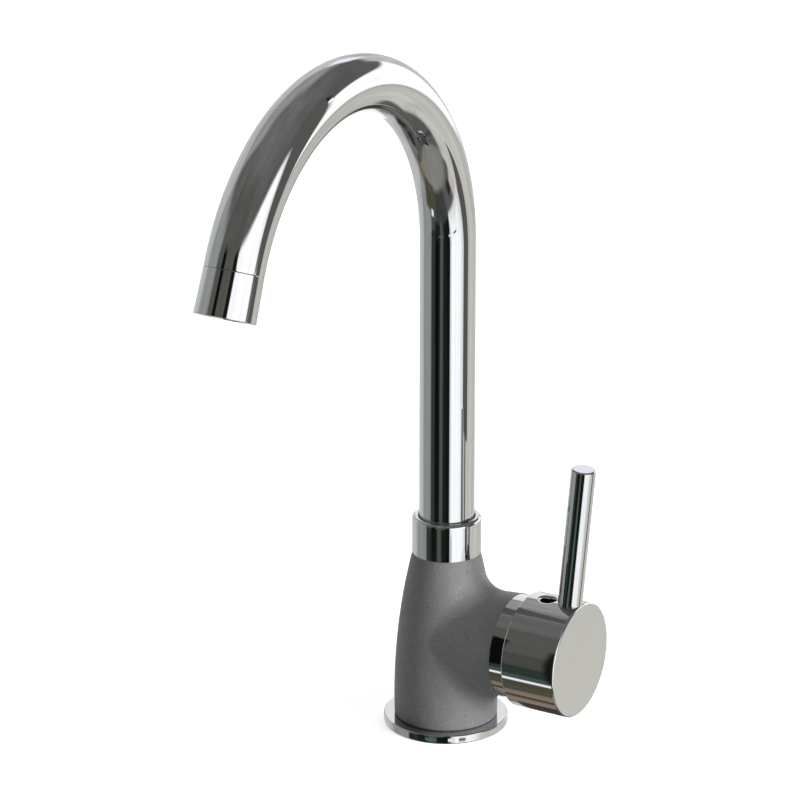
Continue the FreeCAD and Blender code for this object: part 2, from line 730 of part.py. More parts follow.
base_solids = [axle("base_disc", "cartridge_radius", "base_bottom", "base_top")]
for side in ("", "-"):
    base_solids.append(axle("peg_" + ("left" if side else "right"), "peg_radius",
                            "chamber_floor + peg_gap - peg_length", "base_bottom", side + "peg_side",
                            "-peg_drop"))
key_box = brick("key_bar", ("base_top", "base_top + key_height"),
                ("-fixed_disc_radius", "fixed_disc_radius"), ("-key_width / 2", "key_width / 2"))
key_ring = cut("key_ring", axle("key_rim", "fixed_disc_radius", "base_top", "base_top + key_height"),
               axle("key_bore", "fixed_disc_radius - key_depth", "base_top", "base_top + key_height"))
base_keys = overlap("base_keys", key_box, key_ring)
cartridge_base = cut("cartridge_base", join("base_blank", *base_solids, base_keys), *base_cuts)
cartridge_base_seals = group("cartridge_base_seals", *lower_seals)
port_seals = group("port_seals", *upper_seals)

# Fixed ceramic disc: three ports and two keyways that stop it turning.
keyway = cut("keyway", brick("keyway_bar", ("base_top", "fixed_disc_top"),
                             ("-fixed_disc_radius - 1", "fixed_disc_radius + 1"),
                             ("-key_width / 2 - key_gap", "key_width / 2 + key_gap")),
             axle("keyway_core", "fixed_disc_radius - key_depth - key_gap", "base_top", "fixed_disc_top"))
fixed_disc = cut("fixed_disc", axle("fixed_disc_blank", "fixed_disc_radius", "base_top", "fixed_disc_top"),
                 keyway, *[axle(port + "_disc_port", radius, "base_top", "fixed_disc_top", side, rise)
                           for port, (side, rise, radius) in PORTS.items()])

# Moving ceramic disc: a blind cavity that bridges the ports, and notches for the driver's lugs.
DISC = "disc_rest"


def lug_bars(name, start, end, spare):
    """Two blocks at the disc's rim, as lugs or, with spare room, as the notches for them."""
    return [brick(name + side_name, (start, end),
                  (low + " - " + spare, high + " + " + spare),
                  (DISC + " - key_width / 2 - " + spare, DISC + " + key_width / 2 + " + spare))
            for side_name, low, high in (
                ("_right", "-moving_disc_radius", "key_depth - moving_disc_radius"),
                ("_left", "moving_disc_radius - key_depth", "moving_disc_radius"))]


moving_disc = cut(
    "moving_disc",
    axle("moving_disc_blank", "moving_disc_radius", "fixed_disc_top", "moving_disc_top", z=DISC),
    axle("disc_cavity", "disc_cavity_radius", "fixed_disc_top", "fixed_disc_top + disc_cavity_depth",
         z=DISC + " - disc_cavity_drop"),
    *lug_bars("notch", "fixed_disc_top + disc_cavity_depth - key_gap", "moving_disc_top", "key_gap"))

# Disc driver: a plate keyed to the moving disc, with a boss and a pocket for the stem's foot.
driver_plate = overlap(
    "driver_plate_shape",
    join("driver_plate_and_lugs",
         axle("driver_plate_disc", "moving_disc_radius", "moving_disc_top", "driver_top", z=DISC),
         *lug_bars("lug", "fixed_disc_top + disc_cavity_depth", "driver_top", "0")),
    axle("driver_limit", "moving_disc_radius", "fixed_disc_top", "driver_top", z=DISC))
driver_boss = brick("driver_boss", ("moving_disc_top", "driver_boss_top"),
                    ("-driver_boss_half", "driver_boss_half"), ("-driver_boss_half", "driver_boss_half"))
pocket_half = "stem_foot_radius + stem_foot_gap"
disc_driver = cut(
    "disc_driver", join("driver_blank", driver_plate, driver_boss),
    brick("foot_pocket", ("driver_boss_top - driver_pocket_depth", "driver_boss_top"),
          ("-(%s)" % pocket_half, pocket_half), ("-(%s)" % pocket_half, pocket_half)))

# Spindle carrier: turns in the housing, guides the driver below and holds the stem's pin.
carrier_solid = on_handle_axis(new_body("carrier_solid"))
turned(carrier_solid, "carrier_turning", [
    ("carrier_bottom", "0"), ("carrier_top", "0"), ("carrier_top", "carrier_neck_radius"),
    ("carrier_shoulder", "carrier_neck_radius"), ("carrier_shoulder", "carrier_radius"),
    ("carrier_bottom", "carrier_radius")], axis="H_Axis")
carrier_seal_place = "carrier_bottom + carrier_seal_reach"
turned(carrier_solid, "carrier_seal_groove", disc_profile(
    "carrier_radius - 2 * carrier_seal_cord + groove_side_gap", "carrier_radius + 1",
    carrier_seal_place + " - carrier_seal_cord - groove_side_gap",
    carrier_seal_place + " + carrier_seal_cord + groove_side_gap"), axis="H_Axis", kind="Groove")
slot_side = "stem_side / 2 + carrier_slot_side"
boss_side = "driver_boss_half + boss_room"
spindle_carrier = cut(
    "spindle_carrier", carrier_solid,
    brick("stem_slot", ("carrier_bottom", "carrier_top"), ("-(%s)" % slot_side, slot_side),
          ("-carrier_slot_half", "carrier_slot_half")),
    brick("driver_room", ("carrier_bottom", "driver_boss_top + boss_room"),
          ("-(%s)" % boss_side, boss_side), ("-(%s)" % boss_side, boss_side + " + disc_travel")),
    rod("pivot_hole", "pivot_pin_radius", "2 * carrier_radius", "pivot_reach", "-carrier_radius", AXIS,
        ALONG_Y))

carrier_seal = o_ring("carrier_seal", "carrier_radius - carrier_seal_cord + groove_side_gap",
                      "carrier_seal_cord", carrier_seal_place, "0", AXIS, ALONG_X)
pivot_pin = rod("pivot_pin", "pivot_pin_radius", "2 * pivot_pin_half_length", "pivot_reach",
                "-pivot_pin_half_length", AXIS, ALONG_Y)

# Cartridge housing: a stepped plastic shell over the discs and the carrier.
cartridge_housing = on_handle_axis(new_body("cartridge_housing"))
turned(cartridge_housing, "housing_turning", [
    ("base_top", "housing_bore_radius"), ("housing_cap_bottom", "housing_bore_radius"),
    ("housing_cap_bottom", "carrier_neck_radius + swivel_gap"),
    ("housing_top", "carrier_neck_radius + swivel_gap"), ("housing_top", "housing_nose_radius"),
    ("housing_shoulder", "housing_nose_radius"), ("housing_shoulder", "cartridge_radius"),
    ("base_top", "cartridge_radius")], axis="H_Axis")

# Cartridge nut: a brass ring screwed into the stub, with four slots for its wrench.
nut_solid = on_handle_axis(new_body("nut_solid"))
turned(nut_solid, "cartridge_nut_turning", disc_profile(
    "cartridge_nut_bore", "cartridge_nut_radius", "housing_shoulder", "cartridge_nut_front"), axis="H_Axis")
slot_x = ("cartridge_nut_front - wrench_slot_depth", "cartridge_nut_front + 1")
slot_span = ("-cartridge_nut_radius - 1", "cartridge_nut_radius + 1")
slot_width = ("-wrench_slot_width / 2", "wrench_slot_width / 2")
cartridge_nut = cut("cartridge_nut", nut_solid,
                    brick("wrench_slot_across", slot_x, slot_span, slot_width),
                    brick("wrench_slot_upright", slot_x, slot_width, slot_span))

# Cover ring: the chrome ring between the stub and the knob, screwed on the cartridge nut.
cover_ring = on_handle_axis(new_body("cover_ring"))
turned(cover_ring, "cover_turning", [
    ("stub_reach", "stub_thread_radius"), ("cover_web_back", "stub_thread_radius"),
    ("cover_web_back", "cover_hole_radius"), ("cover_front", "cover_hole_radius"),
    ("cover_front", "cover_radius"), ("stub_reach", "cover_radius")], axis="H_Axis")
round_edges(cover_ring, "cover_edges", "cover_edge_round",
            lambda edge: is_circle(edge, number("cover_radius"), number("cover_front"), "x"))

# Lever stem: a square bar with a hub on the pin and a ball foot that slides the disc.
stem_half = "stem_side / 2"
stem_blank = join(
    "stem_blank",
    brick("stem_bar", ("pivot_reach", "stem_end"), ("-" + stem_half, stem_half),
          ("-" + stem_half, stem_half)),
    rod("stem_hub", "stem_hub_radius", "stem_side", "pivot_reach", "-" + stem_half, AXIS, ALONG_Y),
    brick("stem_shank", ("pivot_reach - stem_foot_arm", "pivot_reach"),
          ("-stem_shank_width / 2", "stem_shank_width / 2"),
          ("-stem_shank_thickness / 2", "stem_shank_thickness / 2")))
stem_ball = doc.addObject("Part::Sphere", "stem_ball")
bind(stem_ball, Radius="stem_foot_radius")
put(stem_ball, "pivot_reach - stem_foot_arm", "0", AXIS)
lever_stem = cut("lever_stem", join("stem_and_foot", stem_blank, stem_ball),
                 rod("stem_bore", "pivot_pin_radius + pivot_gap", "2 * stem_side", "pivot_reach",
                     "-stem_side", AXIS, ALONG_Y))

# Knob: a thick-faced cup with a boss for the stem and pads for the grub screw and the pin.
knob_cup = on_handle_axis(new_body("knob_cup"))
turned(knob_cup, "knob_turning", [
    ("knob_boss_back", "0"), ("knob_front", "0"), ("knob_front", "knob_radius"),
    ("knob_back", "knob_radius"), ("knob_back", "knob_bore"), ("knob_cup_floor", "knob_bore"),
    ("knob_cup_floor", "knob_boss_radius"), ("knob_boss_back", "knob_boss_radius")], axis="H_Axis")
round_edges(knob_cup, "knob_front_edge", "knob_front_round",
            lambda edge: is_circle(edge, number("knob_radius"), number("knob_front"), "x"))
round_edges(knob_cup, "knob_back_edge", "knob_back_round",
            lambda edge: is_circle(edge, number("knob_radius"), number("knob_back"), "x"))
LEAN = Rotation(Vector(0, 1, 0), number("pin_lean"))


def leaning(thing, below, turn=LEAN):
    """Sets a rod on the pin's leaning axis, starting this far below the knob's top."""
    slope = " * %s(pin_lean * 1deg)"
    return put(thing, "pin_x - (" + below + ")" + slope % "sin", "0",
               AXIS + " + knob_radius - (" + below + ")" + slope % "cos", turn)


def leaning_rod(name, radius, below, length):
    thing = doc.addObject("Part::Cylinder", name)
    bind(thing, Radius=radius, Height=length)
    return leaning(thing, below)


pads = overlap(
    "knob_pads",
    join("pad_rods",
         rod("screw_pad", "screw_pad_radius", "knob_radius", "screw_x", "0", AXIS + " + screw_bottom"),
         leaning_rod("pin_pad", "pin_pad_radius", "knob_radius - knob_boss_radius / 2", "knob_radius")),
    axle("pad_limit", "knob_bore + knob_wall / 2", "knob_back", "knob_front - knob_face_thickness / 2"))
socket_half = stem_half + " + socket_gap"
knob_bores = join(
    "knob_bores",
    brick("stem_socket", ("knob_boss_back - 1", "stem_end + socket_gap"),
          ("-(%s)" % socket_half, socket_half), ("-(%s)" % socket_half, socket_half)),
    rod("screw_hole", "screw_radius + thread_gap", "screw_length + 1", "screw_x", "0",
        AXIS + " + screw_bottom"),
    rod("access_hole", "access_hole_radius", "knob_radius", "screw_x", "0", AXIS + " + screw_top"),
    leaning_rod("pin_seat_hole", "pin_radius + pin_gap", "pin_seat", "2 * pin_seat"),
    leaning_rod("pin_stud_hole", "pin_stud_radius + pin_gap", "pin_seat + pin_stud_length",
                "pin_stud_length + 1"))
knob_blank = cut("knob_blank", join("knob_and_pads", knob_cup, pads), knob_bores)
doc.recompute()


def is_hole_rim(edge):
    """True for the curve where the access hole leaves the knob's round side."""
    box = edge.BoundBox
    top = number(AXIS) + number("knob_radius")
    return (abs(box.Center.x - number("screw_x")) < 0.05 and box.ZMax > top - 0.1
            and abs(box.XLength - 2 * number("access_hole_radius")) < 0.05
            and box.ZLength < number("access_hole_radius"))


handle_knob = doc.addObject("Part::Fillet", "handle_knob")
handle_knob.Base = knob_blank
rim = number("access_hole_round")
handle_knob.Edges = [(i + 1, rim, rim) for i, edge in enumerate(knob_blank.Shape.Edges) if is_hole_rim(edge)]

# Pin lever: a slim rod with a chamfered top and a threaded stud below.
pin_blank = new_body("pin_blank")
turned(pin_blank, "pin_turning", [
    ("0", "-pin_stud_length"), ("pin_stud_radius", "-pin_stud_length"), ("pin_stud_radius", "0"),
    ("pin_radius", "0"), ("pin_radius", "pin_seat + pin_length - pin_top_chamfer"),
    ("pin_radius - pin_top_chamfer", "pin_seat + pin_length"), ("0", "pin_seat + pin_length")])
handle_pin = group("handle_pin", pin_blank)
leaning(handle_pin, "pin_seat")

# Grub screw: bears on the stem's flat, with a hexagon socket.
key_hexagon = doc.addObject("Part::Prism", "screw_key")
bind(key_hexagon, Circumradius="screw_key_radius", Height="2 * screw_key_depth")
put(key_hexagon, "screw_x", "0", AXIS + " + screw_top - screw_key_depth")
grub_screw = cut("grub_screw", rod("screw_rod", "screw_radius", "screw_length", "screw_x", "0",
                                   AXIS + " + screw_bottom"), key_hexagon)

doc.recompute()

PIECES = [
    base_ring, base_gasket, body_casting, spout_nut, lower_glide_ring, upper_glide_ring,
    spout_spigot, spigot_seals, spout_tube, aerator_housing, aerator_washer, aerator_insert, aerator_mesh,
    cartridge_base, cartridge_base_seals, port_seals, fixed_disc, moving_disc, disc_driver,
    spindle_carrier, carrier_seal, pivot_pin, cartridge_housing, cartridge_nut, cover_ring,
    lever_stem, handle_knob, handle_pin, grub_screw,
]

for thing in doc.Objects:
    if "Invalid" in thing.State or "Error" in thing.State:
        raise RuntimeError("%s failed: %s" % (thing.Label, thing.State))
for piece in PIECES:
    shape = piece.Shape
    if shape.isNull() or not shape.isValid() or not shape.Solids:
        raise RuntimeError(piece.Label + " is not a valid solid")
for piece in PIECES:
    piece.Shape.exportStep("parts/" + piece.Label + ".step")
    print("%-22s %2d solid(s) %10.1f mm3" % (piece.Label, len(piece.Shape.Solids), piece.Shape.Volume))
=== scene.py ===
# %% [markdown]
# # Dressing a mixer tap for its portrait
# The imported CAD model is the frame: every solid already stands in its true place, in metres, with the
# origin under the middle of the base ring. This lesson lights it, gives each piece the finish of the real
# one, and makes anew the pieces whose polish asks for a smoother surface than the CAD facets give.

# %% Load the frame
import json
import math

import bmesh
import bpy
from mathutils import Matrix, Vector


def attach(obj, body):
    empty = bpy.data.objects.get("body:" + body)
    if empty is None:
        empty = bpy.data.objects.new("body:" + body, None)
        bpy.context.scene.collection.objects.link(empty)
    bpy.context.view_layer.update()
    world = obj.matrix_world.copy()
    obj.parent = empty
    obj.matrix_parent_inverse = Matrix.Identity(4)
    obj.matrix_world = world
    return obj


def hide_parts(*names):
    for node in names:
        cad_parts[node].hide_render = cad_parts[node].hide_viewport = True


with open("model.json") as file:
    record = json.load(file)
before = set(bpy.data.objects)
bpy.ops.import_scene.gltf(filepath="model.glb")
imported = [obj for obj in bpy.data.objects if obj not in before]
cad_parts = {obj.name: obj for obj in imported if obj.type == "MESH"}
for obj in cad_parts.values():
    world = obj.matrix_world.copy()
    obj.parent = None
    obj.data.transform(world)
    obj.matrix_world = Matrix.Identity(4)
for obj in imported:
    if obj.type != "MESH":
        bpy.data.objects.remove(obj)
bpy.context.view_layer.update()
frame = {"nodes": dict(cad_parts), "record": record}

NODES = frame["nodes"]

# %% [markdown]
# ## Camera
# The photograph was taken from the front right, a little above the tap, with a long lens: the sides of
# the spout stay almost parallel. A lens of 160 mm from 1.7 m away gives the same gentle perspective. The
# tiny shifts only centre the frame.

# %% Camera
MM = 0.001
CAMERA_AT = Vector((791.8, -1394.6, 724.4)) * MM
LOOKS_AT = Vector((-19.9, -10.1, 163.9)) * MM
camera_data = bpy.data.cameras.new("portrait_camera")
camera = bpy.data.objects.new("portrait_camera", camera_data)
bpy.context.scene.collection.objects.link(camera)
bpy.context.scene.camera = camera
camera_data.lens = 160.5
camera_data.sensor_width = 36.0
camera_data.shift_x = -0.0006
camera_data.shift_y = 0.0036
camera_data.clip_start = 0.05
camera_data.clip_end = 50.0
camera.location = CAMERA_AT
camera.rotation_mode = "QUATERNION"
camera.rotation_quaternion = (LOOKS_AT - CAMERA_AT).to_track_quat("-Z", "Y")
print("camera stands", round((CAMERA_AT - LOOKS_AT).length, 3), "m away")

# %% [markdown]
# ## Colours and nodes
# Colours are written as the hex values that an eye-dropper would read, which are sRGB. A shader works
# with linear light, so one function turns one into the other. A second small function adds a node with
# its settings and its links, and every material below is built with it.


# %% Colours and nodes
def linear(hex_colour):
    """The linear RGBA of an sRGB hex colour."""
    channels = [int(hex_colour[i:i + 2], 16) / 255 for i in (1, 3, 5)]
    return (*[c / 12.92 if c <= 0.04045 else ((c + 0.055) / 1.055) ** 2.4 for c in channels], 1.0)


def add(tree, kind, inputs=None, **settings):
    """Adds a node: settings are its own properties, and inputs are values or other nodes' outputs."""
    made = tree.nodes.new(kind)
    for name, setting in settings.items():
        setattr(made, name, setting)
    for socket, source in (inputs or {}).items():
        if isinstance(source, bpy.types.NodeSocket):
            tree.links.new(source, made.inputs[socket])
        else:
            made.inputs[socket].default_value = source
    return made


def new_material(name):
    """An empty material and its node tree."""
    material = bpy.data.materials.new(name)
    material.use_nodes = True
    material.node_tree.nodes.clear()
    return material, material.node_tree


def finish_material(tree, surface):
    """Ends a tree with the surface shader's output."""
    add(tree, "ShaderNodeOutputMaterial", {"Surface": surface})


WHITE = (1.0, 1.0, 1.0, 1.0)
print("warm light grey is", [round(v, 3) for v in linear("#C0BDB4")[:3]], "in linear light")

# %% [markdown]
# ## The studio that the chrome sees
# Polished chrome has no colour of its own: what the eye reads as chrome is the room mirrored in it. The
# photograph's stripes tell how that room was laid out: a tall softbox on the right, black cloth beside
# the camera, a white wall behind and a grey wall on the left. The room could be built of cards, but a
# panorama painted in the world gives clean, soft edges at any distance.
#
# The world's Generated coordinates are the direction of a ray. Its bearing is 0 towards the tap's front
# and 90 degrees on the handle's side, and its height is 90 degrees straight up.

# %% Bearing and height of a ray
world = bpy.data.worlds.new("studio")
bpy.context.scene.world = world
world.use_nodes = True
sky = world.node_tree
sky.nodes.clear()
direction = add(sky, "ShaderNodeTexCoord").outputs["Generated"]
toward = add(sky, "ShaderNodeSeparateXYZ", {0: direction}).outputs
minus_y = add(sky, "ShaderNodeMath", {0: toward["Y"], 1: -1.0}, operation="MULTIPLY").outputs[0]
bearing = add(sky, "ShaderNodeMath", {0: toward["X"], 1: minus_y}, operation="ARCTAN2").outputs[0]
height = add(sky, "ShaderNodeMath", {0: toward["Z"]}, operation="ARCSINE").outputs[0]
print("the world has", len(sky.nodes), "nodes for bearing and height")

# %% [markdown]
# A panel is a band of bearings crossed with a band of heights. Each band is one inside its limits and
# falls softly to zero outside. Chrome gives back little more than half of the light, so the room is
# painted brighter by that much, and every colour can be given as the one that the chrome shows.

# %% Bands and room light
CHROME_GIVES_BACK = 0.56


def panel_band(angle, limits, soft, wraps):
    """One where the angle is between the limits, falling softly to zero outside."""
    middle, half = sum(limits) / 2, (limits[1] - limits[0]) / 2
    off = add(sky, "ShaderNodeMath", {0: angle, 1: math.radians(middle)}, operation="SUBTRACT").outputs[0]
    if wraps:
        off = add(sky, "ShaderNodeMath", {0: off, 1: math.pi, 2: -math.pi}, operation="WRAP").outputs[0]
    off = add(sky, "ShaderNodeMath", {0: off}, operation="ABSOLUTE").outputs[0]
    return add(sky, "ShaderNodeMapRange",
               {0: off, 1: math.radians(half - soft), 2: math.radians(half + soft), 3: 1.0, 4: 0.0},
               interpolation_type="SMOOTHSTEP").outputs[0]


def room_light(colour, strength=1.0):
    """The light that a part of the room gives, so that the chrome shows it in this colour."""
    return (*[channel * strength / CHROME_GIVES_BACK for channel in linear(colour)[:3]], 1.0)


print("white in the chrome asks for a light of", round(room_light("#FFFFFF")[0], 2))

# %% [markdown]
# The panels are read off the photograph's reflections. Each has its place by bearing and height and its
# softness, all in degrees, and the colour that it shows in the chrome. Later panels cover earlier ones.

# %% The room's panels
STUDIO = [
    # what it is, bearings, heights, softness across and up, colour in the chrome
    ("paler floor far below", (-65, 100), (-90, -54), 8, 5, "#7C7B76"),
    ("grey wall on the left", (-158, -82), (-54, 34), 7, 6, "#ABADAC"),
    ("its upper part", (-158, -84), (34, 60), 7, 8, "#898B8A"),
    ("its dim near end", (-82, -41), (-52, 34), 5, 7, "#878B8A"),
    ("dark room round the camera", (-41, 44), (-37, 62), 3, 9, "#51504C"),
    ("brown table in front", (-62, -18), (-58, -38), 6, 2, "#4A463A"),
    ("its dark end", (-18, 36), (-54, -34), 6, 3, "#3B3D3B"),
    ("its pale edge", (-38, -28.5), (-40.2, -35.8), 1.5, 0.8, "#E4E8E8"),
    ("brown boards", (-118, -50), (-68, -58.5), 7, 1.5, "#7C7264"),
    ("a dark gap between them", (-90, -74), (-67, -61), 3, 1.5, "#4C4232"),
    ("black cloth below the lens", (-37, 38), (-34, -8), 2, 3, "#1B1F1C"),
    ("cloth's upper end", (-40, -22), (-14, 9), 2, 3, "#43453F"),
    ("its bluish fold", (-40, -25), (-27, -14), 2, 2.5, "#2B3532"),
    ("its green hem", (-40, -24), (-35, -28), 2, 1.5, "#414D49"),
    ("thin grey gap in the cloth", (-2, 11), (-35, 6), 3, 4, "#4E514E"),
    ("left stand", (-21, -8), (-22, 30), 1.5, 3, "#0D0E0B"),
    ("right stand", (25, 38), (-34, 27), 1.5, 3, "#151512"),
    ("softbox on the right", (39.5, 111), (-37, 25), 1.4, 2, "#D3D4D4"),
    ("its bright middle", (46, 86), (-33, 24), 5, 4, "#F0F3F6"),
    ("its upper half", (41, 108), (-13, 25), 1.5, 6, "#FDFDFF"),
    ("the softbox's foot", (76, 111), (-46, -36), 3, 2, "#B4B0AA"),
    ("dark rail below it", (57, 73), (-50, -43), 3, 1.5, "#33281F"),
    ("pale table on the right", (96, 163), (-53, -9), 4, 4, "#BAB9B2"),
    ("the same, behind", (158, 202), (-38, -6), 4, 3, "#B0B0AC"),
    ("white wall behind", (134, 186), (-9, 19.5), 3, 2, "#FFFFFF"),
    ("grey end of the wall", (183, 203), (-9, 26), 3, 4, "#AEB0B2"),
    ("line under the wall", (128, 166), (-12.4, -10.6), 4, 0.6, "#A09F9C"),
    ("second line", (128, 190), (-15.8, -14.6), 4, 0.5, "#A9A8A3"),
    ("lamp head", (124, 135), (20, 33), 2, 3, "#1E1E1E"),
    ("its bulb", (131, 135), (18.5, 22.5), 0.7, 0.7, "#FFFFFF"),
    ("black edge of the table", (-179, -143), (-66, -53), 5, 3, "#2E2B2B"),
    ("its left part", (-143, -104), (-73, -65), 6, 2, "#30282A"),
    ("pale window high behind", (197, 212), (19, 31), 3, 3, "#E2E1EE"),
    # small things on the table, which the rim of the foot sees
    ("dark jar", (-43, -31), (-25.1, -24.1), 1, 0.2, "#1A2420"),
    ("teal crate", (-9, 12.5), (-25.1, -24.1), 1, 0.2, "#48635C"),
    ("black tin", (16, 33), (-25.1, -24.1), 1, 0.2, "#121614"),
    ("gap beside it", (34, 42), (-25.1, -24.1), 1, 0.2, "#E6E8E8"),
    ("second jar", (54, 67), (-25.1, -24.1), 1.5, 0.2, "#4A4C4B"),
]
print("the chrome sees", len(STUDIO), "panels")

# %% [markdown]
# Behind the panels is a ceiling that pales slowly towards the zenith, between two heights in radians.
# Real walls and cloth are never even, so a slow noise makes everything a tenth lighter here and darker
# there. One mix node for each panel lays it over all that was painted before.

# %% Paint the panorama
CEILING_FROM, CEILING_TO = 0.6, 1.3
CEILING_DIM, CEILING_PALE = 0.16, 0.235
UNEVEN = 0.13
overhead = add(sky, "ShaderNodeMapRange",
               {0: height, 1: CEILING_FROM, 2: CEILING_TO, 3: CEILING_DIM, 4: CEILING_PALE}).outputs[0]
room = add(sky, "ShaderNodeCombineColor", {0: overhead, 1: overhead, 2: overhead}).outputs[0]
for _, bearings, heights, soft_across, soft_up, colour in STUDIO:
    across = panel_band(bearing, bearings, soft_across, wraps=True)
    up = panel_band(height, heights, soft_up, wraps=False)
    mask = add(sky, "ShaderNodeMath", {0: across, 1: up}, operation="MULTIPLY").outputs[0]
    room = add(sky, "ShaderNodeMix", {0: mask, 6: room, 7: room_light(colour)}, data_type="RGBA").outputs[2]
clutter = add(sky, "ShaderNodeTexNoise",
              {"Vector": direction, "Scale": 5.0, "Detail": 4.0, "Distortion": 0.6}).outputs[0]
shade = add(sky, "ShaderNodeMapRange",
            {0: clutter, 1: 0.3, 2: 0.7, 3: 1.0 - UNEVEN, 4: 1.0 + UNEVEN}).outputs[0]
room = add(sky, "ShaderNodeVectorMath", {0: room, 1: shade}, operation="MULTIPLY").outputs[0]
print("the panorama takes", len(sky.nodes), "nodes")

# %% [markdown]
# Only mirrors and glass see the panorama. The camera sees plain white behind the tap, and matt surfaces
# get a weak even light from all sides, so that their shading comes from the lamps.

# %% What each kind of ray sees
LIGHT_ON_MATT = (0.15, 0.15, 0.153, 1.0)
rays = add(sky, "ShaderNodeLightPath").outputs
mirrored = add(sky, "ShaderNodeMath", {0: rays["Is Glossy Ray"], 1: rays["Is Transmission Ray"]},
               operation="MAXIMUM").outputs[0]
seen = add(sky, "ShaderNodeMix", {0: rays["Is Camera Ray"], 6: LIGHT_ON_MATT, 7: WHITE},
           data_type="RGBA").outputs[2]
seen = add(sky, "ShaderNodeMix", {0: mirrored, 6: seen, 7: room}, data_type="RGBA").outputs[2]
backdrop = add(sky, "ShaderNodeBackground", {"Color": seen, "Strength": 1.0})
add(sky, "ShaderNodeOutputWorld", {"Surface": backdrop.outputs[0]})
bpy.context.scene.view_settings.view_transform = "Standard"
print("the picture is shown as", bpy.context.scene.view_settings.view_transform)

# %% [markdown]
# ## Floor
# The tap stands on a plain pale floor. The camera should see it as white paper, and still see the soft
# shadow at the foot, so the floor is a pale matt paint with some light of its own for camera rays only.
# The lamps hardly reach the floor's far part, so its own light grows with the distance. The mirrors see
# the panorama's floor instead of this one. The sheet is a grid of one square, and the function that makes
# it also makes the cards of the next step.


# %% Floor
def paper_sheet(name, material, width, depth, place):
    """A flat sheet of this size, set in place, that is part of the studio."""
    sheet = bmesh.new()
    sheet.loops.layers.uv.new("UVMap")
    bmesh.ops.create_grid(sheet, x_segments=1, y_segments=1, size=0.5, calc_uvs=True)
    bmesh.ops.scale(sheet, verts=sheet.verts, vec=(width, depth, 1.0))
    bmesh.ops.transform(sheet, matrix=place, verts=sheet.verts)
    mesh = bpy.data.meshes.new(name)
    sheet.to_mesh(mesh)
    sheet.free()
    mesh.materials.append(material)
    made = bpy.data.objects.new(name, mesh)
    bpy.context.scene.collection.objects.link(made)
    return made


FLOOR_SIDE = 12.0
PAPER_CLOUD = 25
NEAR, FAR = 0.2, 1.5
LIGHT_NEAR, LIGHT_FAR = 0.58, 0.84
floor_material, tree = new_material("white_paper")
place = add(tree, "ShaderNodeTexCoord").outputs["Object"]
paper_grain = add(tree, "ShaderNodeTexNoise",
                  {"Vector": place, "Scale": 1.0 / (PAPER_CLOUD * MM), "Detail": 4.0}).outputs[0]
paper = add(tree, "ShaderNodeMix", {0: paper_grain, 6: linear("#E9E9E9"), 7: linear("#F1F1F1")},
            data_type="RGBA").outputs[2]
far_off = add(tree, "ShaderNodeVectorMath", {0: place}, operation="LENGTH").outputs["Value"]
lift = add(tree, "ShaderNodeMapRange",
           {0: far_off, 1: NEAR, 2: FAR, 3: LIGHT_NEAR, 4: LIGHT_FAR}).outputs[0]
for_camera = add(tree, "ShaderNodeLightPath").outputs["Is Camera Ray"]
own_light = add(tree, "ShaderNodeMath", {0: for_camera, 1: lift}, operation="MULTIPLY").outputs[0]
glow = add(tree, "ShaderNodeEmission", {"Color": WHITE, "Strength": own_light})
matt = add(tree, "ShaderNodeBsdfDiffuse", {"Color": paper})
both = add(tree, "ShaderNodeAddShader", {0: matt.outputs[0], 1: glow.outputs[0]})
finish_material(tree, both.outputs[0])
floor = paper_sheet("floor", floor_material, FLOOR_SIDE, FLOOR_SIDE, Matrix.Identity(4))
floor.visible_glossy = False
print("floor of", FLOOR_SIDE, "m")

# %% [markdown]
# ## Cards
# Some things in the photographed room stood close to the tap, so their reflections shift from one piece
# to the next as near things do, and a painted sky can't do that. They are real cards, which only the
# mirrors see. A dark flag on the right draws the thin dark line down the spout, and a white reflector
# stands behind on the left. Small flags close by, a photographer's trick, blacken the cover ring and the
# knob's end and draw the lever's dark line. A dark card lying under the knob is painted shade: it stands
# in for the tap's own shadow on the floor, which the mirrors don't see, and darkens the knob's belly.
# Their edges are soft, because a hard edge so near would show in the knob as a stain.


# %% Cards
CLOUDS_PER_METRE, PATCHY = 6.0, 0.07


def hang_card(name, colour, width, height, soft, place):
    """A card that only the mirrors see, in the chrome's colour of it; sizes and soft edges are in mm."""
    card_material, tree = new_material(name + "_card")
    where = add(tree, "ShaderNodeTexCoord").outputs
    weave = add(tree, "ShaderNodeTexNoise",
                {"Vector": where["Object"], "Scale": CLOUDS_PER_METRE}).outputs[0]
    darker, lighter = room_light(colour, 1.0 - PATCHY), room_light(colour, 1.0 + PATCHY)
    tone = add(tree, "ShaderNodeMix", {0: weave, 6: darker, 7: lighter}, data_type="RGBA").outputs[2]
    from_middle = add(tree, "ShaderNodeVectorMath", {0: where["UV"], 1: (0.5, 0.5, 0.0)},
                      operation="SUBTRACT").outputs[0]
    from_middle = add(tree, "ShaderNodeVectorMath", {0: from_middle}, operation="ABSOLUTE").outputs[0]
    sides = add(tree, "ShaderNodeSeparateXYZ", {0: from_middle}).outputs
    fades = [add(tree, "ShaderNodeMapRange", {0: side, 1: 0.5 - soft / length, 2: 0.5, 3: 1.0, 4: 0.0},
                 interpolation_type="SMOOTHSTEP").outputs[0]
             for side, length in ((sides["X"], width), (sides["Y"], height))]
    cover = add(tree, "ShaderNodeMath", {0: fades[0], 1: fades[1]}, operation="MULTIPLY").outputs[0]
    gone = add(tree, "ShaderNodeBsdfTransparent").outputs[0]
    lit = add(tree, "ShaderNodeEmission", {"Color": tone}).outputs[0]
    finish_material(tree, add(tree, "ShaderNodeMixShader", {0: cover, 1: gone, 2: lit}).outputs[0])
    card = paper_sheet(name, card_material, width * MM, height * MM, place)
    card.visible_camera = False
    card.visible_diffuse = False
    card.visible_shadow = False


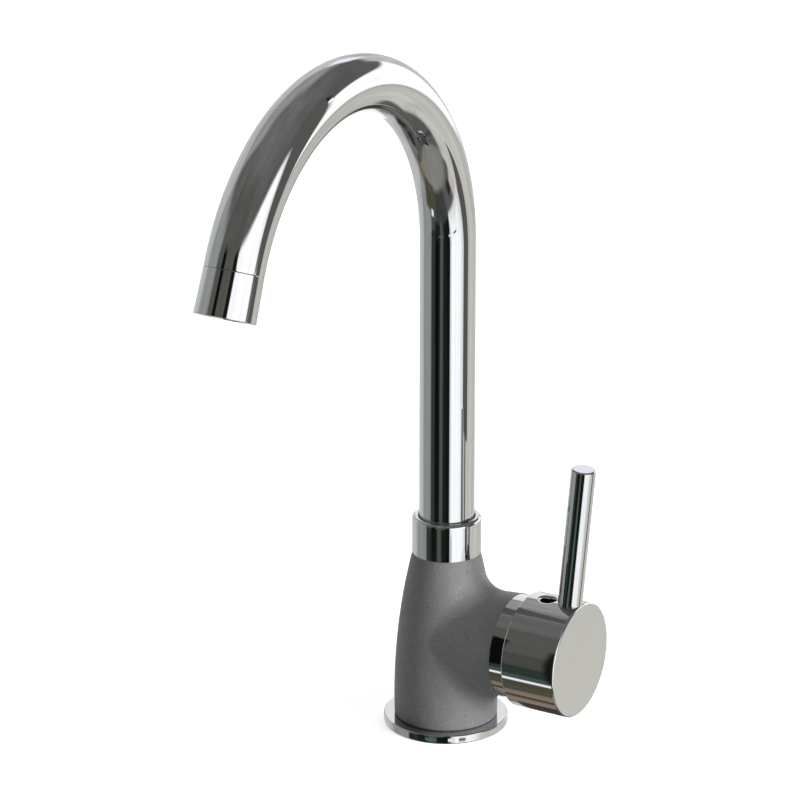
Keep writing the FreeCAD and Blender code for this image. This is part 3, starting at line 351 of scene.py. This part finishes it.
CARDS = [
    # name, two ends on the floor in mm, bottom and top in mm, soft edge in mm, colour in the chrome
    ("dark_flag", (446, 47), (366, 203), 0, 760, 1, "#52524F"),
    ("white_reflector", (-60, 292), (-200, 222), 62, 285, 1, "#D6D7D9"),
    ("ring_flag", (23.0, -43.7), (35.3, -49.9), 36.5, 78.5, 3, "#0A0B0A"),
    ("knob_flag", (51.2, -58.1), (60.9, -63.0), 19, 79, 4.5, "#171812"),
    ("lever_flag", (126.0, 24.0), (116.0, 40.0), 33, 128, 7, "#454543"),
]
UPRIGHT = Matrix.Rotation(math.radians(90), 4, "X")
for name, start, end, low, high, soft, colour in CARDS:
    run_x, run_y = end[0] - start[0], end[1] - start[1]
    middle = Vector(((start[0] + end[0]) / 2, (start[1] + end[1]) / 2, (low + high) / 2)) * MM
    turned = Matrix.Translation(middle) @ Matrix.Rotation(math.atan2(run_y, run_x), 4, "Z") @ UPRIGHT
    hang_card(name, colour, math.hypot(run_x, run_y), high - low, soft, turned)
# Painted shade: this lying card's dark stands in for the tap's own shadow on the floor, seen in the knob's
# belly.
SHADE_BELOW_KNOB_AT = Vector((49.5, 15.0, 0.5)) * MM
hang_card("shade_below_knob", "#3B3330", 28, 58, 3, Matrix.Translation(SHADE_BELOW_KNOB_AT))
print(len(CARDS), "cards stand and one lies")

# %% [markdown]
# ## Lamps
# One big soft lamp on the right lights the matt body, and the knob shades the middle of it. A weak lamp
# overhead and one behind keep the far sides from going dark. The mirrors don't see the lamps, because the
# panorama already shows them the softbox.


# %% Lamps
LAMPS_LOOK_AT = Vector((0.0, 0.0, 100.0)) * MM


def hang_lamp(name, bearing_height, away, size, watts, colour):
    """A soft square lamp in a direction from the tap's middle, which it looks at."""
    across, up = [math.radians(angle) for angle in bearing_height]
    outward = Vector((math.sin(across) * math.cos(up), -math.cos(across) * math.cos(up), math.sin(up)))
    data = bpy.data.lights.new(name, "AREA")
    data.size = size
    data.energy = watts
    data.color = linear(colour)[:3]
    lamp = bpy.data.objects.new(name, data)
    lamp.location = LAMPS_LOOK_AT + outward * away
    lamp.rotation_mode = "QUATERNION"
    lamp.rotation_quaternion = (-outward).to_track_quat("-Z", "Y")
    lamp.visible_glossy = False
    bpy.context.scene.collection.objects.link(lamp)
    print(f"{name}: {watts} W from {away} m")


hang_lamp("softbox", (85, 5), 1.5, 0.7, 54.0, "#FDFDFF")
hang_lamp("overhead", (-30, 70), 2.0, 1.4, 11.0, "#FCFDFF")
hang_lamp("fill_behind", (195, 25), 1.8, 1.0, 12.0, "#FCFDFF")

# %% [markdown]
# ## Chrome plate
# Bright chromium over polished brass. It is a mirror with a neutral, faintly blue tint that gives back a
# little over half of the light. Real plating isn't perfect: buffing leaves a faint waviness, and handling
# leaves films that soften the mirror in patches. Both are far weaker than the eye expects. Their sizes
# are in mm. One noise rules both the tint and the roughness, as a film does on the real thing.


# %% Chrome plate
FILM_PATCH, WAVE_LONG, WAVE_DEEP = 18, 12.5, 0.02


def chrome_plate():
    """Polished chromium with the films that hands leave and the waves that buffing leaves."""
    material, tree = new_material("chrome_plate_polished")
    place = add(tree, "ShaderNodeTexCoord").outputs["Object"]
    film = add(tree, "ShaderNodeTexNoise",
               {"Vector": place, "Scale": 1.0 / (FILM_PATCH * MM), "Detail": 3.0}).outputs[0]
    tint = add(tree, "ShaderNodeMix", {0: film, 6: linear("#C3C4C5"), 7: linear("#C9C9C9")},
               data_type="RGBA").outputs[2]
    rough = add(tree, "ShaderNodeMapRange", {0: film, 1: 0.3, 2: 0.75, 3: 0.015, 4: 0.05}).outputs[0]
    waves = add(tree, "ShaderNodeTexNoise",
                {"Vector": place, "Scale": 1.0 / (WAVE_LONG * MM), "Detail": 1.0}).outputs[0]
    bump = add(tree, "ShaderNodeBump",
               {"Strength": 0.25, "Distance": WAVE_DEEP * MM, "Height": waves}).outputs[0]
    shader = add(tree, "ShaderNodeBsdfPrincipled",
                 {"Base Color": tint, "Metallic": 1.0, "Roughness": rough, "Normal": bump})
    finish_material(tree, shader.outputs[0])
    return material


FINISHES = {"chrome": chrome_plate()}
print("made", FINISHES["chrome"].name)

# %% [markdown]
# ## Stone-effect coat
# The body is cast brass under a baked coat of dark grey paint with mineral grit in it, so it looks like
# matt granite. The coat is a salt-and-pepper grain with a dark fleck here and there, and the grit raises
# the surface a little. The real grit is a few tenths of a millimetre across, too fine to show from this
# far, so it is drawn 0.7 to 1.2 mm wide, and so are the lumps. The sheen is broad and soft: it catches
# the softbox along the neck and low on the right. A Voronoi pattern gives each grain a cell of its own
# with its own random colour, and that colour decides which cells hold a grain and which stay plain.


# %% Stone-effect coat
CLOUD, LUMP, LUMP_HIGH = 17, 0.9, 0.08
GRAINS = [
    # size in mm, share of the cells left out, colour, how strongly it covers
    (0.7, 0.72, "#4F4F4F", 0.80),
    (0.8, 0.82, "#919193", 0.78),
    (1.2, 0.985, "#2A2A2B", 0.80),
]


def stone_coat():
    """Grey paint that is cloudy far off, gritty close by and a little rough to the touch."""
    material, tree = new_material("granite_effect_coat")
    place = add(tree, "ShaderNodeTexCoord").outputs["Object"]
    cloud = add(tree, "ShaderNodeTexNoise",
                {"Vector": place, "Scale": 1.0 / (CLOUD * MM), "Detail": 8.0}).outputs[0]
    body = add(tree, "ShaderNodeMix", {0: cloud, 6: linear("#676767"), 7: linear("#717171")},
               data_type="RGBA").outputs[2]
    for step, (size, rare, colour, cover) in enumerate(GRAINS):
        shift = (step * 0.37, step * 0.11, 0.0)
        shifted = add(tree, "ShaderNodeMapping", {"Vector": place, "Location": shift}).outputs[0]
        grit = add(tree, "ShaderNodeTexVoronoi", {"Vector": shifted, "Scale": 1.0 / (size * MM)}).outputs
        lot = add(tree, "ShaderNodeSeparateColor", {0: grit["Color"]}).outputs[0]
        chosen = add(tree, "ShaderNodeMath", {0: lot, 1: rare}, operation="GREATER_THAN").outputs[0]
        spot = add(tree, "ShaderNodeMapRange", {0: grit["Distance"], 1: 0.42, 2: 0.18, 3: 0.0, 4: cover},
                   interpolation_type="SMOOTHSTEP").outputs[0]
        mask = add(tree, "ShaderNodeMath", {0: chosen, 1: spot}, operation="MULTIPLY").outputs[0]
        body = add(tree, "ShaderNodeMix", {0: mask, 6: body, 7: linear(colour)},
                   data_type="RGBA").outputs[2]
    relief = add(tree, "ShaderNodeTexNoise",
                 {"Vector": place, "Scale": 1.0 / (LUMP * MM), "Detail": 3.0}).outputs[0]
    bump = add(tree, "ShaderNodeBump",
               {"Strength": 0.4, "Distance": LUMP_HIGH * MM, "Height": relief}).outputs[0]
    rough = add(tree, "ShaderNodeMapRange", {0: cloud, 1: 0.3, 2: 0.7, 3: 0.44, 4: 0.54}).outputs[0]
    shader = add(tree, "ShaderNodeBsdfPrincipled",
                 {"Base Color": body, "Roughness": rough, "Normal": bump, "IOR": 1.45})
    finish_material(tree, shader.outputs[0])
    return material


FINISHES["stone_coat"] = stone_coat()
print("made", FINISHES["stone_coat"].name, "with", len(GRAINS), "kinds of grit")

# %% [markdown]
# ## Brass, steel, plastic, rubber and ceramic
# The pieces inside are machined brass, stainless steel, moulded plastic, rubber and lapped ceramic. Most
# hide in the closed tap, but they show when it is taken apart, so each gets its real finish: turning
# lines on the brass, a brushed grain on the steel, a moulded bloom on the plastic and the rubber, and the
# faint sparkle of lapped alumina. One noise sets the tone, the roughness and the relief of each. A larger
# scale along Z squeezes it into lines round the tap's axis. The real lines and grains are finer than this,
# and are drawn just coarse enough to show.


# %% Inner finishes
def inner_finish(name, low, high, metallic, roughness, grain_size, squeeze, relief):
    """A finish from two tones of one noise that also sets roughness and relief; sizes are in mm."""
    material, tree = new_material(name)
    place = add(tree, "ShaderNodeTexCoord").outputs["Object"]
    place = add(tree, "ShaderNodeMapping", {"Vector": place, "Scale": squeeze}).outputs[0]
    grain = add(tree, "ShaderNodeTexNoise",
                {"Vector": place, "Scale": 1.0 / (grain_size * MM), "Detail": 5.0}).outputs[0]
    tone = add(tree, "ShaderNodeMix", {0: grain, 6: linear(low), 7: linear(high)},
               data_type="RGBA").outputs[2]
    rough = add(tree, "ShaderNodeMapRange",
                {0: grain, 1: 0.3, 2: 0.7, 3: roughness[0], 4: roughness[1]}).outputs[0]
    bump = add(tree, "ShaderNodeBump",
               {"Strength": 0.4, "Distance": relief * MM, "Height": grain}).outputs[0]
    shader = add(tree, "ShaderNodeBsdfPrincipled",
                 {"Base Color": tone, "Metallic": metallic, "Roughness": rough, "Normal": bump})
    finish_material(tree, shader.outputs[0])
    return material


EVEN = (1, 1, 1)
INNER_FINISHES = {
    # slot: name, darker and lighter tone, metallic, roughness, grain in mm, squeeze, relief in mm
    "brass": ("turned_brass", "#B8955A", "#CDAE74", 1.0, (0.22, 0.36), 1.1, (1, 1, 6), 0.01),
    "steel": ("turned_stainless", "#A8A9AA", "#BDBEBF", 1.0, (0.24, 0.38), 1.4, (1, 1, 5), 0.01),
    "wire": ("woven_stainless_wire", "#9FA0A1", "#B9BABB", 1.0, (0.28, 0.42), 0.65, EVEN, 0.02),
    "seal_rubber": ("moulded_seal_rubber", "#1B1B1C", "#262627", 0.0, (0.55, 0.7), 1.7, EVEN, 0.03),
    "acetal": ("moulded_white_acetal", "#DCDBD6", "#E8E7E3", 0.0, (0.38, 0.5), 3.3, EVEN, 0.02),
    "alumina": ("lapped_alumina", "#E2DFD6", "#EDEBE5", 0.0, (0.2, 0.3), 0.8, EVEN, 0.005),
}
for slot, finish in INNER_FINISHES.items():
    FINISHES[slot] = inner_finish(*finish)
print(len(FINISHES), "finishes in all")

# %% [markdown]
# ## Turned chrome pieces
# A lathe makes the base ring, the collar, the aerator's shell and the lever, and a mirror finish shows
# each facet of a coarse mesh. So these pieces are turned again here. A profile of corners is drawn as a
# wire, each corner is rounded by a bevel of its vertex, and the wire is spun about the Z axis. Sharp
# edges are marked by their angle, and weighted normals keep the flat faces flat in the reflections.


# %% Lathe and finishing
MERGE_WITHIN = 0.0001 * MM
SHARP_OVER = math.radians(32)


def turn(corners, steps=160):
    """A bmesh turned from corners of (radius, height, rounding) in mm, joined in a closed loop."""
    work = bmesh.new()
    points = [work.verts.new((radius * MM, 0.0, level * MM)) for radius, level, _ in corners]
    on_axis = corners[0][0] == 0 and corners[-1][0] == 0
    for first, second in zip(points, points[1:] + ([] if on_axis else points[:1])):
        work.edges.new((first, second))
    for point, (_, _, rounding) in zip(points, corners):
        if rounding:
            bmesh.ops.bevel(work, geom=[point], offset=rounding * MM, offset_type="OFFSET", segments=6,
                            profile=0.5, affect="VERTICES", material=-1)
    bmesh.ops.spin(work, geom=work.verts[:] + work.edges[:], cent=(0, 0, 0), axis=(0, 0, 1),
                   angle=math.tau, steps=steps, use_merge=True)
    return work


def finish_piece(name, work, body, slot, *nodes):
    """Turns a bmesh into a smooth piece that wears its slot's finish and stands for these nodes."""
    bmesh.ops.remove_doubles(work, verts=work.verts, dist=MERGE_WITHIN)
    bmesh.ops.recalc_face_normals(work, faces=work.faces)
    mesh = bpy.data.meshes.new(name)
    work.to_mesh(mesh)
    work.free()
    mesh.materials.append(FINISHES[slot])
    mesh.shade_smooth()
    mesh.set_sharp_from_angle(angle=SHARP_OVER)
    piece = bpy.data.objects.new(name, mesh)
    bpy.context.scene.collection.objects.link(piece)
    even = piece.modifiers.new("even_normals", "WEIGHTED_NORMAL")
    even.keep_sharp = True
    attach(piece, body)
    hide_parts(*nodes)
    print(f"{name}: {len(mesh.polygons)} faces")


print("edges over", round(math.degrees(SHARP_OVER)), "degrees stay sharp")

# %% [markdown]
# The base ring is the flat flange on the worktop, with a groove in its underside for the seal. A cylinder
# with a hole and a bevel would do for the eye, but the profile gives it the groove as well.

# %% Base ring
RING_R, RING_BORE, RING_H, RING_EDGE = 30.4, 17.2, 4.4, 0.7
GROOVE_IN, GROOVE_OUT, GROOVE_DEEP = 21.0, 24.5, 1.5
ring = turn([(RING_BORE, 0, 0), (GROOVE_IN, 0, 0.15), (GROOVE_IN, GROOVE_DEEP, 0),
             (GROOVE_OUT, GROOVE_DEEP, 0), (GROOVE_OUT, 0, 0.15), (RING_R, 0, RING_EDGE),
             (RING_R, RING_H, RING_EDGE), (RING_BORE, RING_H, 0)])
finish_piece("base_ring_polished", ring, "standing_body", "chrome", "base_ring")

# %% [markdown]
# The collar screws over the body's neck and holds the spout down with the step inside its top. Its upper
# outer edge has the largest rounding, which catches a bright line all the way round.

# %% Collar
NUT_R, NUT_LOW, NUT_HIGH, NUT_SHOULDER = 16.7, 88.9, 107.6, 1.8
NUT_BORE, NUT_HOLE, NUT_STEP = 14.95, 13.65, 102.3
nut = turn([(NUT_BORE, NUT_LOW, 0.2), (NUT_R, NUT_LOW, 0.25), (NUT_R, NUT_HIGH, NUT_SHOULDER),
            (NUT_HOLE, NUT_HIGH, 0.8), (NUT_HOLE, NUT_STEP, 0.1), (NUT_BORE, NUT_STEP, 0)])
finish_piece("spout_nut_polished", nut, "standing_body", "chrome", "spout_nut")

# %% [markdown]
# The lever is a slim rod with a small chamfer round its top and a stud below, which screws into the
# knob's crown. It leans five degrees away from the spout, so it is turned upright and then set in place
# by one matrix.

# %% Lever
LEAN = math.radians(5.0)
KNOB_BACK, KNOB_AXIS, KNOB_R, PIN_ALONG = 45.4, 47.4, 28.0, 22.2
PIN_FOOT = Vector((KNOB_BACK + PIN_ALONG, 0.0, KNOB_AXIS + KNOB_R)) * MM
PIN_SEAT, PIN_LENGTH, PIN_R, PIN_CHAMFER = 1.2, 69.5, 5.9, 0.6
STUD_R, STUD_LENGTH = 3.0, 8.0
STUD_END = -PIN_SEAT - STUD_LENGTH
lever = turn([(0, STUD_END, 0), (STUD_R, STUD_END, 0.3), (STUD_R, -PIN_SEAT, 0), (PIN_R, -PIN_SEAT, 0.1),
              (PIN_R, PIN_LENGTH - PIN_CHAMFER, 0.15), (PIN_R - PIN_CHAMFER, PIN_LENGTH, 0.12),
              (0, PIN_LENGTH, 0)], steps=128)
bmesh.ops.transform(lever, matrix=Matrix.Translation(PIN_FOOT) @ Matrix.Rotation(LEAN, 4, "Y"),
                    verts=lever.verts)
finish_piece("lever_polished", lever, "handle", "chrome", "handle_pin")

# %% [markdown]
# ## Swan neck
# The neck is one brass tube, bent on a mandrel: a straight riser, an arc of 158 degrees and a short
# straight tail. A curve with a round bevel could make it too, but two circles are shaped here, for the
# outside and the bore at once, so the wall stays even. They are extruded up the riser, spun about the
# bend's centre and extruded again.


# %% Swan neck
def extrude_along(work, edges, shift):
    """Extrudes edges by a shift and returns the new edges at the far end."""
    made = bmesh.ops.extrude_edge_only(work, edges=edges)["geom"]
    bmesh.ops.translate(work, verts=[v for v in made if isinstance(v, bmesh.types.BMVert)], vec=shift)
    return [e for e in made if isinstance(e, bmesh.types.BMEdge)]


TUBE_R, TUBE_BORE, TUBE_SIDES = 13.3, 12.1, 128
TUBE_FOOT, RISER_TOP, TAIL = 101.3, 244.4, 2.4
BEND_R, BEND_TURN, BEND_STEPS = 94.9, math.radians(157.6), 150
DOWN = Vector((0.0, -math.sin(BEND_TURN), math.cos(BEND_TURN)))
neck = bmesh.new()
for radius in (TUBE_R, TUBE_BORE):
    bmesh.ops.create_circle(neck, cap_ends=False, segments=TUBE_SIDES, radius=radius * MM)
bmesh.ops.translate(neck, verts=neck.verts, vec=(0, 0, TUBE_FOOT * MM))
riser_end = extrude_along(neck, neck.edges[:], (0, 0, (RISER_TOP - TUBE_FOOT) * MM))
bend = bmesh.ops.spin(neck, geom=riser_end, cent=(0, -BEND_R * MM, RISER_TOP * MM), axis=(1, 0, 0),
                      angle=BEND_TURN, steps=BEND_STEPS)
bend_end = [e for e in bend["geom_last"] if isinstance(e, bmesh.types.BMEdge)]
extrude_along(neck, bend_end, DOWN * TAIL * MM)
bmesh.ops.remove_doubles(neck, verts=neck.verts, dist=MERGE_WITHIN)
print("two tubes of", len(neck.faces), "faces")

# %% [markdown]
# Now the two tubes are bridged at the foot and at the mouth, where each pair of rims is still open. A
# small bevel round the mouth makes the upper half of the seam that the eye sees above the aerator.

# %% Ends of the neck
SEAM = 0.3
NEAR_ENOUGH = 0.01 * MM
MOUTH = Vector((0.0, -BEND_R + BEND_R * math.cos(BEND_TURN), RISER_TOP + BEND_R * math.sin(BEND_TURN))) * MM
MOUTH = MOUTH + DOWN * TAIL * MM
for end in (Vector((0, 0, TUBE_FOOT * MM)), MOUTH):
    rims = [e for e in neck.edges if e.is_boundary and (e.verts[0].co - end).length < 2 * TUBE_R * MM]
    bmesh.ops.bridge_loops(neck, edges=rims)
mouth_rim = [e for e in neck.edges if all(abs((v.co - MOUTH).length - TUBE_R * MM) < NEAR_ENOUGH
                                          and abs((v.co - MOUTH).dot(DOWN)) < NEAR_ENOUGH
                                          for v in e.verts)]
bmesh.ops.bevel(neck, geom=mouth_rim, offset=SEAM * MM, offset_type="OFFSET", segments=2, profile=0.5,
                affect="EDGES", material=-1)
finish_piece("swan_neck_polished", neck, "spout", "chrome", "spout_tube")
print("mouth at", [round(v / MM, 2) for v in MOUTH], "mm")

# %% [markdown]
# The aerator's shell screws into the mouth. It widens by half a millimetre towards its lip, and its
# rounded upper edge is the lower half of the seam. It is turned on its own axis, then tipped over with
# the tube's mouth.

# %% Aerator shell
SHELL_R, SHELL_BORE, SHELL_LENGTH = 13.8, 11.2, 20.4
LIP_R, LIP_H = 10.4, 1.5
SCREW_R, SCREW_BORE, SCREW_LENGTH = 12.05, 10.2, 6.0
LIP_INSIDE = SHELL_LENGTH - LIP_H
shell = turn([(SCREW_BORE, -SCREW_LENGTH, 0.2), (SCREW_R, -SCREW_LENGTH, 0.2), (SCREW_R, 0, 0),
              (TUBE_R, 0, SEAM), (SHELL_R, SHELL_LENGTH, 0.35), (LIP_R, SHELL_LENGTH, 0.3),
              (LIP_R, LIP_INSIDE, 0.1), (SHELL_BORE, LIP_INSIDE, 0), (SHELL_BORE, 0, 0),
              (SCREW_BORE, 0, 0)])
bmesh.ops.transform(shell, matrix=Matrix.Translation(MOUTH) @ Matrix.Rotation(BEND_TURN, 4, "X"),
                    verts=shell.verts)
finish_piece("aerator_shell_polished", shell, "spout", "chrome", "aerator_housing")

# %% [markdown]
# ## Finishes on the other nodes
# The body's blend into its stub, the knob with its dished hole, and everything inside keep their CAD
# shapes, which are right as they are. Each gets its finish by its slot in the record.

# %% Finishes by slot
SLOT_OF = {part["node"]: part["material_slot"] for part in frame["record"]["subparts"]}
for name, thing in NODES.items():
    thing.data.materials.clear()
    thing.data.materials.append(FINISHES[SLOT_OF[name]])
print(len(NODES), "nodes wear", len(FINISHES), "finishes")
